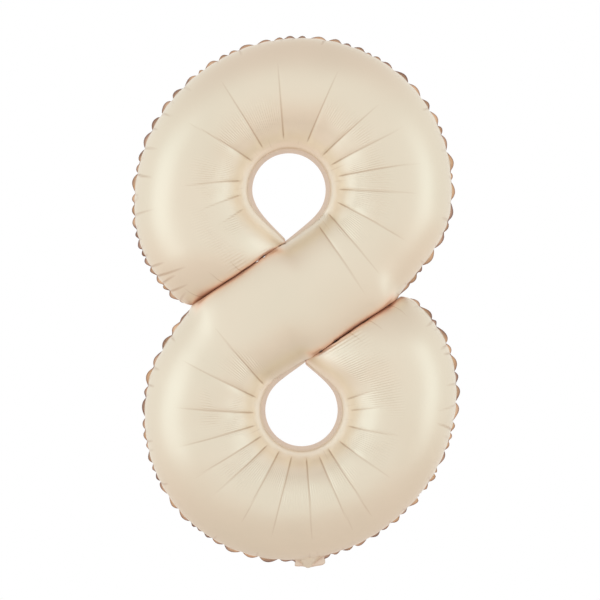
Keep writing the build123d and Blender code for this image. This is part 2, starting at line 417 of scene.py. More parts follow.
FOLD_SEED = 34
draw = random.Random(FOLD_SEED)
PUCKER_PITCH = 0.0225
PUCKER_WIDTH = 0.0026
PINCH_DEPTH = 0.0080
EYE_CREASE_WIDTH = 0.0015
SLIT_FOLD_PITCH = 0.040
SLIT_FOLD_WIDTH = 0.0022
SLIT_FOLD_DEPTH = 0.0012
UPPER_CREASES = (198, 183, 168, 142, 123, 96, 69, 45, 30, 15, 0, -13, -30, -50)
LOWER_CREASES = (147, 165, 183, 198, 212, 225, 241, 258, 276, 291, 305, 321, 341, 359, 372)


def path_of(values, lengths_wanted):
    """The path value where a side line reaches each length."""
    fine = np.linspace(0, path_length, 4000)
    return np.interp(lengths_wanted, along_keys(values, fine), fine)


def pinches(start, stop, pitch, spread):
    """Uneven stops along a seam, from one length to another."""
    stops = [start]
    while stops[-1] < stop - 0.4 * pitch:
        stops.append(stops[-1] + pitch * draw.uniform(1 - spread, 1 + spread))
    scale = (stop - start) / (stops[-1] - start)
    return [start + (s - start) * scale for s in stops]


rim_pinches = {
    "a": path_of(crossings[:, 0], pinches(notch_a + 0.006, lengths_a[-1], PUCKER_PITCH, 0.5)),
    "b": path_of(crossings[:, 1], pinches(0, notch_b - 0.006, PUCKER_PITCH, 0.5)),
}


def scallops(stops):
    """A lopsided bow between each two pinches, and the number of the bow."""
    cell = np.clip(np.searchsorted(stops, path) - 1, 0, len(stops) - 2)
    inside = (path >= stops[0]) & (path <= stops[-1])
    t = np.clip((path - stops[cell]) / (stops[cell + 1] - stops[cell]), 0, 1)
    skews = np.array([draw.uniform(0.68, 1.45) for _ in stops])
    return np.sin(math.pi * t ** skews[cell]) ** 0.8, cell, inside


TIP_FOLDS = (0.09, 0.22, 0.41, 0.55)
TIP_FOLD_WIDTH = 0.035
TIP_FOLD_DEPTH = 0.0011
TIP_FOLD_REACH = 0.080
crease_shade_lines = {}
from_tip = np.minimum(walk, walk[-1] - walk)


def off_path(at, slant, distance):
    """How far beside a line across the tube each point lies."""
    return (path[:, None] - at - slant * distance) * stretch


def fold_line(side, off, distance, width, reach, start, deep, lean=0.0):
    """One sharp valley that runs in from a seam between two swells."""
    core = np.exp(0.35 - np.sqrt((off / (width * (1 + 5 * distance))) ** 2 + 0.1225))
    swell = np.exp(-((off / (5 * width)) ** 2))
    tilt = lean * off / (5 * width) * swell
    rise = np.clip((distance - start) / 0.010, 0, 1) if start else 1
    fade = np.clip(1 - distance / reach, 0, 1)
    # The line's mask is kept for the painted crease shade in the foil's colour.
    line = np.exp(-((off / (0.85 * width)) ** 2)) * rise * fade**0.5 * min(deep / 0.0022, 1)
    crease_shade_lines[side] = np.maximum(crease_shade_lines[side], line)
    return deep * (0.6 * core + 0.4 * swell + tilt) * rise * fade**1.2


def eye_creases(eye, seam_radius, bearings, line, lengths, values, after):
    """Where each long crease of an eye starts, how far it slants and reaches."""
    found = []
    for k, bearing_now in enumerate(bearings):
        at = length_at(line, lengths, polar(eye, seam_radius, bearing_now), after)
        near_lobe = min(k, 4) / 4 if eye == UPPER_EYE else min(len(bearings) - 1 - k, 4) / 4
        reach = 0.100 + 0.085 * near_lobe + draw.uniform(-0.012, 0.012)
        slant = (-0.25 if eye == UPPER_EYE else 0.15) * (1 - near_lobe) + draw.uniform(-0.04, 0.04)
        found.append((float(path_of(values, [at])[0]), slant, reach))
    return found


upper_creases = eye_creases(
    UPPER_EYE, upper_eye_seam, UPPER_CREASES, line_a, lengths_a, crossings[:, 0], 0
)
lower_creases = eye_creases(
    LOWER_EYE, lower_eye_seam, LOWER_CREASES, line_b, lengths_b, crossings[:, 1], 1.0
)


def fold_depths(side):
    """How far every fold of one sheet draws the film in."""
    inwards = np.zeros_like(from_a)
    crease_shade_lines[side] = np.zeros_like(from_a)
    for name, distance in (("a", from_a), ("b", from_b)):
        for at in rim_pinches[name]:
            lobe_end = math.exp(-((min(at, path_length - at) / 0.22) ** 2))
            reach = draw.choice((0.020, 0.026, 0.034, 0.048)) * (1 + lobe_end)
            deep = draw.uniform(0.0012, 0.0026)
            off = off_path(at, draw.uniform(-0.14, 0.14), distance)
            inwards += fold_line(side, off, distance, PUCKER_WIDTH, reach, 0, deep)
    for distance, creases in ((from_a, upper_creases), (from_b, lower_creases)):
        for at, slant, reach in creases:
            deep = draw.uniform(0.0026, 0.0038)
            lean = draw.uniform(-0.35, 0.35)
            start = draw.uniform(0.030, 0.042)
            off = off_path(at, slant, distance)
            inwards += fold_line(side, off, distance, EYE_CREASE_WIDTH, reach, start, deep, lean)
        for first, second in zip(creases, creases[1:]):
            at = first[0] + (second[0] - first[0]) * draw.uniform(0.35, 0.65)
            reach = draw.uniform(0.040, 0.080)
            deep = draw.uniform(0.0004, 0.0010)
            off = off_path(at, (first[1] + second[1]) / 2, distance)
            inwards += fold_line(side, off, distance, EYE_CREASE_WIDTH, reach, 0.024, deep)
    for distance, values, start, stop in (
        (from_a, crossings[:, 0], slit_a, notch_a),
        (from_b, crossings[:, 1], notch_b, slit_b),
    ):
        for at in path_of(values, pinches(start, stop, SLIT_FOLD_PITCH, 0.35)):
            reach = draw.uniform(0.015, 0.040)
            off = off_path(at, draw.uniform(-0.12, 0.12), distance)
            inwards += fold_line(side, off, distance, SLIT_FOLD_WIDTH, reach, 0, SLIT_FOLD_DEPTH)
    # The lobes' flat ends sink a little along their short folds; their dark lines are painted shade in the
    # foil's material, with a bump valley.
    eye_share = np.where(upper_half[:, None], from_a, from_b) / np.maximum(from_a[:, -1:], 1e-6)
    fade = np.clip(1 - from_tip / TIP_FOLD_REACH, 0, 1)[:, None]
    for place in TIP_FOLDS:
        off = (1 - eye_share - place) / TIP_FOLD_WIDTH
        inwards += TIP_FOLD_DEPTH * np.exp(-(off**2)) * fade
    return inwards


def dents():
    """Slow unevenness of the blown film, under a millimetre deep."""
    wave = np.zeros_like(from_a)
    for _ in range(26):
        along = draw.uniform(20, 75) * draw.choice((-1, 1))
        over = draw.uniform(5, 40)
        phase = draw.uniform(0, 2 * math.pi)
        wave += np.sin(along * path[:, None] + over * from_a + phase) * draw.uniform(0.3, 1)
    return wave * 0.00016 * np.sin(turn)[None, :]


# The seam line itself: it bows out between pinches, and every bow leans to
# the front or to the back.
BOW_LEAN = 0.0030
LONGEST_BOW = 0.0092
seam_bow = {}
for name in ("a", "b"):
    bow, cell, inside = scallops(rim_pinches[name])
    bow_lengths = np.diff(rim_pinches[name])
    outs = [min(0.0030 + 0.22 * long, LONGEST_BOW) * draw.uniform(0.85, 1.12) for long in bow_lengths]
    outs = np.array(outs)
    leans = np.array([draw.uniform(0.4, 1.0) * (1 if k % 2 else -1) for k in range(len(outs))])
    edge_of_run = np.minimum(np.abs(path - rim_pinches[name][0]), np.abs(path - rim_pinches[name][-1]))
    ends = np.where(inside, np.clip(edge_of_run / 0.030, 0, 1), 0)
    if name == "a":
        ends = ends * np.clip((np.abs(side_a[:, 0]) - 0.020) / 0.012 + (side_a[:, 1] > 0.05), 0, 1)
    seam_bow[name] = (
        (outs[cell] * bow - PINCH_DEPTH) * ends,
        leans[cell] * bow * BOW_LEAN * ends,
    )


def blown_sheet(side):
    """The film of one sheet between its seams, with its folds."""
    soften = np.sin(turn)[None, :] ** 0.35
    points = smooth_tube + outward * ((dents() - fold_depths(side)) * soften)[..., None]
    points[..., 1] *= -side
    for name, distance, seam, other in (("a", from_a, side_a, side_b), ("b", from_b, side_b, side_a)):
        away = (seam - other) / np.maximum(np.linalg.norm(seam - other, axis=1), 1e-9)[:, None]
        near = np.exp(-distance / 0.0065)
        points[..., 0] += near * (seam_bow[name][0] * away[:, 0])[:, None]
        points[..., 2] += near * (seam_bow[name][0] * away[:, 1])[:, None]
        points[..., 1] += np.exp(-distance / 0.011) * seam_bow[name][1][:, None]
    return points


# ---------------------------------------------------------------------------
# The two foil sheets: metallised film, each one piece from the seam's outer
# edge over the blown tube to the seam on the other side.

FILM_GAP = 0.00015


# The seam's width along each line: wide round the eyes and outlines, narrow
# in the slits, and tapered at the eyes' points and at the notches.
leave_eye = length_at(line_a, lengths_a, polar(UPPER_EYE, upper_eye_seam, -40))
meet_eye = length_at(line_b, lengths_b, polar(LOWER_EYE, lower_eye_seam, 140))
width_keys_a = np.array(
    (
        (0, SLIT_SEAM_WIDTH),
        (0.030, 0.0036),
        (0.085, EYE_SEAM_WIDTH),
        (leave_eye, EYE_SEAM_WIDTH),
        (slit_a - 0.008, 0.0034),
        (slit_a + 0.008, SLIT_SEAM_WIDTH),
        (notch_a + 0.004, SLIT_SEAM_WIDTH),
        (notch_a + 0.035, SEAM_WIDTH),
        (lengths_a[-1] - 0.030, SEAM_WIDTH),
        (lengths_a[-1], SLIT_SEAM_WIDTH),
    )
)
width_keys_b = np.array(
    (
        (0, SLIT_SEAM_WIDTH),
        (0.030, SEAM_WIDTH),
        (notch_b - 0.035, SEAM_WIDTH),
        (notch_b - 0.004, SLIT_SEAM_WIDTH),
        (slit_b - 0.008, SLIT_SEAM_WIDTH),
        (slit_b + 0.008, 0.0034),
        (meet_eye, EYE_SEAM_WIDTH),
        (lengths_b[-1] - 0.085, EYE_SEAM_WIDTH),
        (lengths_b[-1] - 0.030, 0.0036),
        (lengths_b[-1], SLIT_SEAM_WIDTH),
    )
)


def seam_run():
    """The sheet's border in order: grid places, outward steps and leans."""
    places = [(i, 0) for i in range(STATIONS + 1)]
    places += [(STATIONS, j) for j in range(1, ROWS + 1)]
    places += [(i, ROWS) for i in range(STATIONS - 1, -1, -1)]
    places += [(0, j) for j in range(ROWS - 1, 0, -1)]
    width = np.full(len(places), SLIT_SEAM_WIDTH)
    lean = np.zeros(len(places))
    for k, (i, j) in enumerate(places):
        if j == 0:
            width[k] = np.interp(at_a[i], width_keys_a[:, 0], width_keys_a[:, 1])
        if j == ROWS:
            width[k] = np.interp(at_b[i], width_keys_b[:, 0], width_keys_b[:, 1])
        if not 0 < i < STATIONS:
            width[k] *= 1 - min(gaps(flat[i, j], i == 0), 1)
        if at_a[i] > slit_a and j == 0 or at_b[i] < slit_b and j == ROWS:
            width[k] *= 1 - min(gaps(flat[i, j], j == 0), 1)
        if 0 < i < STATIONS:
            lean[k] = seam_bow["a" if j == 0 else "b"][1][i]
    border = np.array([flat[i, j] for i, j in places])
    kernel = np.ones(9) / 9
    tangent = np.roll(border, -1, 0) - np.roll(border, 1, 0)
    normal = np.stack([tangent[:, 1], -tangent[:, 0]], 1)
    normal /= np.maximum(np.linalg.norm(normal, axis=1), 1e-12)[:, None]
    padded = np.pad(normal, ((4, 4), (0, 0)), mode="wrap")
    normal = np.stack([np.convolve(padded[:, k], kernel, "valid") for k in (0, 1)], 1)
    normal /= np.linalg.norm(normal, axis=1)[:, None]
    following = np.roll(border, -1, 0)
    area = np.sum(border[:, 0] * following[:, 1] - following[:, 0] * border[:, 1])
    return places, normal * np.sign(area) * width[:, None], lean


SEAM_ROWS = 2
FILM_THICKNESS = 0.0001
# How fast the painted groove shade fades away from where the walls touch.
SLIT_SHADE = 0.011
WALL_CONTACT = 0.052
TIP_CONTACT = 0.036
tip_shade = np.exp(-np.maximum(from_tip - TIP_CONTACT, 0) / SLIT_SHADE)
tail_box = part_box("tail_front_sheet")
rise_behind = math.atan2(tail_box[1][2] - tail_box[0][2], tail_box[1][1] - tail_box[0][1])
TAIL_ROOM = 0.0020
PRESS_SOFTNESS = 0.0010


def pressed_by_tail(points):
    """The back sheet's foot, flattened where the folded tail lies against it."""
    resting_line = points[..., 1] * math.tan(rise_behind) + TAIL_ROOM / math.cos(rise_behind)
    beside = np.clip((np.abs(points[..., 0]) - tail_box[1][0]) / 0.020, 0, 1)
    under = 1 - beside * beside * (3 - 2 * beside)
    below = (resting_line - points[..., 2]) / PRESS_SOFTNESS
    points[..., 2] += under * PRESS_SOFTNESS * np.logaddexp(0, below)
    return points


def foil_sheet(name, side, material):
    """One foil sheet: a grid swelled to the blown shape, with its seam extruded."""
    points = blown_sheet(side)
    if side > 0:
        points = pressed_by_tail(points)
    places, steps, leans = seam_run()
    steps = {place: (step[0], lean, step[1]) for place, step, lean in zip(places, steps, leans)}
    bm = bmesh.new()
    bmesh.ops.create_grid(bm, x_segments=STATIONS, y_segments=ROWS, size=1.0)
    seam_layer = bm.verts.layers.float.new("seam")
    eye_layer = bm.verts.layers.float.new("eye_side")
    inner_layer = bm.verts.layers.float.new("inner")
    groove_shade_layer = bm.verts.layers.float.new("slit")
    crease_shade_layer = bm.verts.layers.float.new("crease")
    tip_layer = bm.verts.layers.float.new("from_tip")
    step_layer = bm.verts.layers.float_vector.new("seam_step")
    lay = bm.verts.layers.float_vector.new("lay")
    for v in bm.verts:
        i = round((v.co.x + 1) / 2 * STATIONS)
        j = round((v.co.y + 1) / 2 * ROWS)
        upper = path[i] < path_length / 2
        width_here = from_a[i, -1]
        v[lay] = (path[i], from_a[i, j] - width_here / 2, 0)
        v[eye_layer] = float((from_a[i, j] < width_here / 2) == upper)
        from_eye = (from_a[i, j] if upper else from_b[i, j]) / max(width_here, 1e-6)
        on_diagonal = math.exp(-(((path[i] - path_length / 2) / 0.10) ** 4))
        v[inner_layer] = 1 - from_eye - on_diagonal
        # The slit value is a mask for painted shade: the foil's colour turns orange-brown and darker down
        # the slits' grooves and at the lobes' tips.
        v[groove_shade_layer] = max(
            touch_a[i] * math.exp(-max(from_a[i, j] - WALL_CONTACT, 0) / SLIT_SHADE),
            touch_b[i] * math.exp(-max(from_b[i, j] - WALL_CONTACT, 0) / SLIT_SHADE),
            tip_shade[i],
        )
        # Mask for the painted shade along the creases.
        v[crease_shade_layer] = crease_shade_lines[side][i, j]
        v[tip_layer] = from_tip[i]
        v.co = Vector(points[i, j])
        if (i, j) in steps:
            v[step_layer] = steps[i, j]
            v.co.y += side * FILM_GAP
    edges = [e for e in bm.edges if e.is_boundary]
    for e in edges:
        e.smooth = False
    for row in range(SEAM_ROWS):
        made = bmesh.ops.extrude_edge_only(bm, edges=edges)["geom"]
        for v in made:
            if isinstance(v, bmesh.types.BMVert):
                v.co += Vector((v[step_layer][0], v[step_layer][1] * 0.5, v[step_layer][2])) / SEAM_ROWS
                v[seam_layer] = (row + 1) / SEAM_ROWS
        edges = [e for e in bm.edges if e.is_boundary]
    bmesh.ops.recalc_face_normals(bm, faces=bm.faces)
    crest = max(bm.verts, key=lambda v: side * v.co.y)
    if crest.normal.y * side < 0:
        bmesh.ops.reverse_faces(bm, faces=bm.faces)
    for face in bm.faces:
        face.smooth = True
    mesh = bpy.data.meshes.new(name)
    bm.to_mesh(mesh)
    bm.free()
    mesh.materials.append(material)
    sheet = bpy.data.objects.new(name, mesh)
    bpy.context.scene.collection.objects.link(sheet)
    film = sheet.modifiers.new("film", "SOLIDIFY")
    film.thickness = FILM_THICKNESS
    film.offset = -1
    return sheet


FINE_LINE_PITCH = 0.0044


def foil_finish():
    """Champagne metallised film: satin and browner on the seams, with painted shade that is orange-brown
    in the slits' grooves, dark along the creases and towards the outer seam's edge, and painted light in a
    paler band round the eyes.
    """
    material = bpy.data.materials.new("champagne_foil")
    material.use_nodes = True
    nodes = material.node_tree.nodes
    links = material.node_tree.links
    shader = nodes["Principled BSDF"]
    shader.inputs["Metallic"].default_value = 0.72
    shader.inputs["Coat Weight"].default_value = 0.35
    shader.inputs["Coat Roughness"].default_value = 0.3

    def attribute(name):
        node = nodes.new("ShaderNodeAttribute")
        node.attribute_name = name
        return node

    def ramp(source, *stops):
        node = nodes.new("ShaderNodeValToRGB")
        points = node.color_ramp.elements
        while len(points) < len(stops):
            points.new(0.5)
        while len(points) > len(stops):
            points.remove(points[-1])
        for point, (position, colour) in zip(points, stops):
            point.position = position
            point.color = (*colour, 1)
        links.new(source, node.inputs["Fac"])
        return node.outputs["Color"]

    def mix(factor, first, second):
        node = nodes.new("ShaderNodeMix")
        node.data_type = "RGBA"
        links.new(factor, node.inputs["Factor"])
        links.new(first, node.inputs["A"])
        links.new(second, node.inputs["B"])
        return node.outputs["Result"]

    place = nodes.new("ShaderNodeTexCoord")
    cloud = nodes.new("ShaderNodeTexNoise")
    cloud.inputs["Scale"].default_value = 7.0
    cloud.inputs["Detail"].default_value = 3.0
    links.new(place.outputs["Object"], cloud.inputs["Vector"])
    body = ramp(cloud.outputs["Fac"], (0.35, (0.765, 0.695, 0.555)), (0.65, (0.790, 0.710, 0.570)))
    # Painted light: the film's colour is made paler in a band round the eyes, where its steep wall would
    # show a darker reflection.
    near_eye = ramp(attribute("inner").outputs["Fac"], (0.70, (0, 0, 0)), (0.84, (1, 1, 1)))
    painted_eye_light = ramp(attribute("inner").outputs["Fac"], (0.84, (0.95, 0.87, 0.73)), (0.94, (0.86, 0.76, 0.60)))
    body = mix(near_eye, body, painted_eye_light)
    # Painted shade and painted orange reflected light in the slits' grooves, darkest where the walls
    # touch.
    slit = ramp(
        attribute("slit").outputs["Fac"],
        (0.0, (0.82, 0.74, 0.60)),
        (0.40, (0.88, 0.75, 0.61)),
        (0.80, (0.84, 0.63, 0.48)),
        (1.0, (0.64, 0.38, 0.26)),
    )
    in_groove = ramp(attribute("slit").outputs["Fac"], (0.10, (0, 0, 0)), (0.70, (1, 1, 1)))
    body = mix(in_groove, body, slit)
    # Painted shade: the foil darkens to brown along the crease lines and along the lobes' tip folds.
    crease_shade_colour = ramp(attribute("crease").outputs["Fac"], (0.0, (0.46, 0.31, 0.19)))
    wavy = nodes.new("ShaderNodeMath")
    wavy.operation = "MULTIPLY_ADD"
    wavy.inputs[1].default_value = 0.10
    links.new(cloud.outputs["Fac"], wavy.inputs[0])
    links.new(attribute("inner").outputs["Fac"], wavy.inputs[2])
    spikes = []
    for fold in TIP_FOLDS:
        line = fold + 0.05
        spikes += [(line - 0.004, (0, 0, 0)), (line, (1, 1, 1)), (line + 0.004, (0, 0, 0))]
    tip_reach = ramp(attribute("from_tip").outputs["Fac"], (0.036, (0.9, 0.9, 0.9)), (0.070, (0, 0, 0)))
    tip_folds = nodes.new("ShaderNodeMath")
    tip_folds.operation = "MULTIPLY"
    links.new(ramp(wavy.outputs["Value"], *spikes), tip_folds.inputs[0])
    links.new(tip_reach, tip_folds.inputs[1])
    folds = nodes.new("ShaderNodeMath")
    folds.operation = "MAXIMUM"
    crease_reach = ramp(attribute("crease").outputs["Fac"], (0.10, (0, 0, 0)), (0.90, (0.9, 0.9, 0.9)))
    links.new(crease_reach, folds.inputs[0])
    links.new(tip_folds.outputs["Value"], folds.inputs[1])
    crease = folds.outputs["Value"]
    body = mix(crease, body, crease_shade_colour)
    seam = attribute("seam").outputs["Fac"]
    # Painted shade: the outer seam is browner and darkens to near black at its edge, in lighter and darker
    # patches along its bows; the eye seam stays a nearly even tan.
    dark_seam = ramp(seam, (0.0, (0.60, 0.40, 0.28)), (0.5, (0.42, 0.26, 0.19)), (1.0, (0.20, 0.11, 0.09)))
    pale_seam = ramp(seam, (0.0, (0.78, 0.56, 0.38)), (0.6, (0.70, 0.44, 0.27)), (1.0, (0.34, 0.20, 0.14)))
    seam_shade_noise = nodes.new("ShaderNodeTexNoise")
    seam_shade_noise.inputs["Scale"].default_value = 24.0
    links.new(place.outputs["Object"], seam_shade_noise.inputs["Vector"])
    patchy = ramp(seam_shade_noise.outputs["Fac"], (0.42, (0, 0, 0)), (0.60, (1, 1, 1)))
    outer_seam = mix(patchy, dark_seam, pale_seam)
    eye_seam = ramp(seam, (0.0, (0.76, 0.63, 0.51)), (1.0, (0.72, 0.58, 0.48)))
    seam_colour = mix(attribute("eye_side").outputs["Fac"], outer_seam, eye_seam)
    on_seam = nodes.new("ShaderNodeMath")
    on_seam.operation = "GREATER_THAN"
    on_seam.inputs[1].default_value = 0.02
    links.new(seam, on_seam.inputs[0])
    links.new(mix(on_seam.outputs["Value"], body, seam_colour), shader.inputs["Base Color"])

    # Fine lines run across the tube where the film is drawn in round the eyes.
    lay = nodes.new("ShaderNodeSeparateXYZ")
    links.new(attribute("lay").outputs["Vector"], lay.inputs["Vector"])
    patches = nodes.new("ShaderNodeTexNoise")
    patches.inputs["Scale"].default_value = 16.0
    links.new(place.outputs["Object"], patches.inputs["Vector"])
    wander = nodes.new("ShaderNodeMath")
    wander.operation = "MULTIPLY_ADD"
    wander.inputs[1].default_value = 0.003
    links.new(patches.outputs["Fac"], wander.inputs[0])
    links.new(lay.outputs["X"], wander.inputs[2])
    lines = nodes.new("ShaderNodeMath")
    lines.operation = "SINE"
    rate = nodes.new("ShaderNodeMath")
    rate.operation = "MULTIPLY"
    rate.inputs[1].default_value = 2 * math.pi / FINE_LINE_PITCH
    links.new(wander.outputs["Value"], rate.inputs[0])
    links.new(rate.outputs["Value"], lines.inputs[0])
    where = ramp(patches.outputs["Fac"], (0.40, (0, 0, 0)), (0.54, (1, 1, 1)))
    drawn_zone = ramp(
        attribute("inner").outputs["Fac"],
        (0.47, (0, 0, 0)),
        (0.55, (1, 1, 1)),
        (0.70, (1, 1, 1)),
        (0.80, (0, 0, 0)),
    )
    height = nodes.new("ShaderNodeMath")
    height.operation = "MULTIPLY"
    links.new(where, height.inputs[0])
    links.new(drawn_zone, height.inputs[1])
    drawn = nodes.new("ShaderNodeMath")
    drawn.operation = "MULTIPLY_ADD"
    links.new(height.outputs["Value"], drawn.inputs[0])
    links.new(lines.outputs["Value"], drawn.inputs[1])
    valley = nodes.new("ShaderNodeMath")
    valley.operation = "MULTIPLY"
    valley.inputs[1].default_value = -1.6
    links.new(tip_folds.outputs["Value"], valley.inputs[0])
    links.new(valley.outputs["Value"], drawn.inputs[2])
    relief = nodes.new("ShaderNodeBump")
    relief.inputs["Strength"].default_value = 0.5
    relief.inputs["Distance"].default_value = 0.0004
    links.new(drawn.outputs["Value"], relief.inputs["Height"])
    links.new(relief.outputs["Normal"], shader.inputs["Normal"])
    satin = ramp(cloud.outputs["Fac"], (0.3, (0.36, 0.36, 0.36)), (0.7, (0.42, 0.42, 0.42)))
    links.new(satin, shader.inputs["Roughness"])
    return material


champagne_foil = foil_finish()
for name, side, node in (("front_foil_sheet", -1, "front_panel"), ("back_foil_sheet", 1, "back_panel")):
    sheet = foil_sheet(name, side, champagne_foil)
    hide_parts(node)
    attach(sheet, "balloon")

# ---------------------------------------------------------------------------
# The neck and its tail: the same two films, sealed down both sides and open at
# the end as a filling mouth. Gas swells the neck into a funnel, most in front,
# and the tail is folded up behind along the neck's sloping lower edge.

NECK_HALF_WIDTH = tail_box[1][0]
NECK_ROOT = 0.0260
FOLD_RADIUS = 0.0013
LAYER_OFFSET = 0.0009
TAIL_LENGTH = 0.062
FUNNEL_TIP = -0.0034
FUNNEL_SWELL = 1.02
BACK_SWELL_SHARE = 0.2
FUNNEL_HALF_WIDTH = 0.0030
FUNNEL_FLARE = 0.95
FOLD_BEND = 0.012
FOLD_SLOPE = 0.17
CORNER_START = 0.0205
CORNER_SLOPE = 0.45
LEFT_RISE = 0.0013
LEFT_START = 0.0086
fold_turn = math.pi / 2 + rise_behind
fold_start = FOLD_RADIUS / math.tan((math.pi - fold_turn) / 2)
fold_length = FOLD_RADIUS * fold_turn
neck_to_mouth = NECK_ROOT - fold_start + fold_length + TAIL_LENGTH - fold_start


def neck_line(along):
    """The middle line's place and outward direction, from the root (0) to the mouth."""
    neck_length = NECK_ROOT - fold_start
    if along < neck_length:
        return (0, NECK_ROOT - along), (1, 0)
    turned = min((along - neck_length) / FOLD_RADIUS, fold_turn)
    y = FOLD_RADIUS * (1 - math.cos(turned))
    z = fold_start - FOLD_RADIUS * math.sin(turned)
    rest = max(along - neck_length - fold_length, 0)
    place = (y + rest * math.cos(rise_behind), z + rest * math.sin(rise_behind))
    return place, (math.cos(turned), math.sin(turned))


def fold_lift(x, along):
    """How far the slanting fold sits above its lowest point, under the funnel's tip."""
    right = max(x - FUNNEL_TIP, 0)
    left = max(FUNNEL_TIP - x, 0)
    lift = FOLD_SLOPE * right + CORNER_SLOPE * max(x - CORNER_START, 0)
    lift += min(0.15 * left, LEFT_RISE) + 0.07 * max(left - LEFT_START, 0)
    bend = FOLD_BEND if along < NECK_ROOT else 0.7 * FOLD_BEND
    return lift * math.exp(-(((along - NECK_ROOT) / bend) ** 2))


def folded_strip(name, half_width, start, stop, layers, offset, material, columns=44, rows=130):
    """Film that runs down the neck, round the fold and along the tail."""
    bm = bmesh.new()
    lay = bm.verts.layers.float_vector.new("lay")
    seam_layer = bm.verts.layers.float.new("seam")
    strip_layer = bm.verts.layers.float.new("eye_side")
    for layer in layers:
        made = bmesh.ops.create_grid(bm, x_segments=columns, y_segments=rows, size=1.0)["verts"]
        for v in made:
            x = v.co.x * half_width
            t = (v.co.y + 1) / 2
            bunched = 0.7 * math.sin(2 * math.pi * t) / (2 * math.pi) * (t < 0.5)
            along = start + (stop - start) * (t - bunched)
            place, out = neck_line(along)
            flat_side = math.sqrt(max(1 - abs(v.co.x) ** 6, 0)) if len(layers) > 1 else 1
            high = max(NECK_ROOT - along, 0)
            funnel = (x - FUNNEL_TIP) / (FUNNEL_HALF_WIDTH + FUNNEL_FLARE * high)
            swell = FUNNEL_SWELL * high * math.exp(-(funnel**4)) * (len(layers) > 1)
            wave = 0.0006 * math.sin(230 * x + 160 * along) * math.sin(95 * along + 60 * x)
            wave = wave * min(along / 0.03, 1) + 0.0007 * max(along / neck_to_mouth - 0.8, 0) * 5
            pressed = BACK_SWELL_SHARE if layer > 0 else 1
            away = layer * (offset + swell * pressed) * flat_side + wave
            v.co = Vector((x, place[0] + out[0] * away, place[1] + out[1] * away + fold_lift(x, along)))
            v[lay] = (along, x, 0)
            v[seam_layer] = 0.05 * (abs(funnel) > 1.1)
            v[strip_layer] = 1.0
    bmesh.ops.remove_doubles(bm, verts=bm.verts, dist=1e-6)
    bmesh.ops.recalc_face_normals(bm, faces=bm.faces)
    front = min((v for v in bm.verts if v.co.z > 0.015), key=lambda v: v.co.y)
    if front.normal.y > 0:
        bmesh.ops.reverse_faces(bm, faces=bm.faces)
    for face in bm.faces:
        face.smooth = True
    mesh = bpy.data.meshes.new(name)
    bm.to_mesh(mesh)
    bm.free()
    mesh.materials.append(material)
    strip = bpy.data.objects.new(name, mesh)
    bpy.context.scene.collection.objects.link(strip)
    film = strip.modifiers.new("film", "SOLIDIFY")
    film.thickness = FILM_THICKNESS
    film.offset = -1
    return strip


neck = folded_strip(
    "neck_and_tail_foil", NECK_HALF_WIDTH, 0, neck_to_mouth, (-1, 1), LAYER_OFFSET, champagne_foil
)
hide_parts("tail_front_sheet", "tail_back_sheet")
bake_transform(neck)

# ---------------------------------------------------------------------------
# The self-sealing valve: two clear films laid between the foil layers of the
# neck and tail, and two free flaps inside the balloon that the gas presses shut.

FILM_HALF_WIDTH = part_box("valve_neck_front_film")[1][0]
FILM_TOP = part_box("valve_neck_front_film")[1][2]
FILM_SHORT_OF_MOUTH = tail_box[1][1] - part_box("tail_valve_front_film")[1][1]
FILM_OFFSET = 0.0002
FLAP_CLEARANCE = 0.0006


def clear_film():
    """Thin clear polythene, a little milky, with faint crinkles."""
    material = bpy.data.materials.new("clear_valve_film")
    material.use_nodes = True
    nodes = material.node_tree.nodes
    links = material.node_tree.links
    shader = nodes["Principled BSDF"]
    shader.inputs["Transmission Weight"].default_value = 0.7
    shader.inputs["IOR"].default_value = 1.45
    place = nodes.new("ShaderNodeTexCoord")
    crinkle = nodes.new("ShaderNodeTexNoise")
    crinkle.inputs["Scale"].default_value = 260.0
    crinkle.inputs["Detail"].default_value = 4.0
    links.new(place.outputs["Object"], crinkle.inputs["Vector"])
    milk = nodes.new("ShaderNodeValToRGB")
    milk.color_ramp.elements[0].color = (0.84, 0.85, 0.85, 1)
    milk.color_ramp.elements[1].color = (0.93, 0.93, 0.92, 1)
    links.new(crinkle.outputs["Fac"], milk.inputs["Fac"])
    links.new(milk.outputs["Color"], shader.inputs["Base Color"])
    rough = nodes.new("ShaderNodeMapRange")
    rough.inputs["To Min"].default_value = 0.12
    rough.inputs["To Max"].default_value = 0.26
    links.new(crinkle.outputs["Fac"], rough.inputs["Value"])
    links.new(rough.outputs["Result"], shader.inputs["Roughness"])
    relief = nodes.new("ShaderNodeBump")
    relief.inputs["Strength"].default_value = 0.35
    relief.inputs["Distance"].default_value = 0.0002
    links.new(crinkle.outputs["Fac"], relief.inputs["Height"])
    links.new(relief.outputs["Normal"], shader.inputs["Normal"])
    return material


valve_film = clear_film()
for flap in ("valve_front_flap", "valve_back_flap"):
    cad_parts[flap].material_slots[0].material = valve_film
for side, layer in (("front", -1), ("back", 1)):
    strip = folded_strip(
        "valve_" + side + "_film",
        FILM_HALF_WIDTH,
        NECK_ROOT - FILM_TOP + FLAP_CLEARANCE,
        neck_to_mouth - FILM_SHORT_OF_MOUTH / math.cos(rise_behind),
        (layer,),
        FILM_OFFSET,
        valve_film,
        columns=30,
        rows=90,
    )
    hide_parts("valve_neck_" + side + "_film", "tail_valve_" + side + "_film")
    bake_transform(strip)

# ---------------------------------------------------------------------------
# The studio: a pale floor that fades out, two tall soft boxes and a white room.

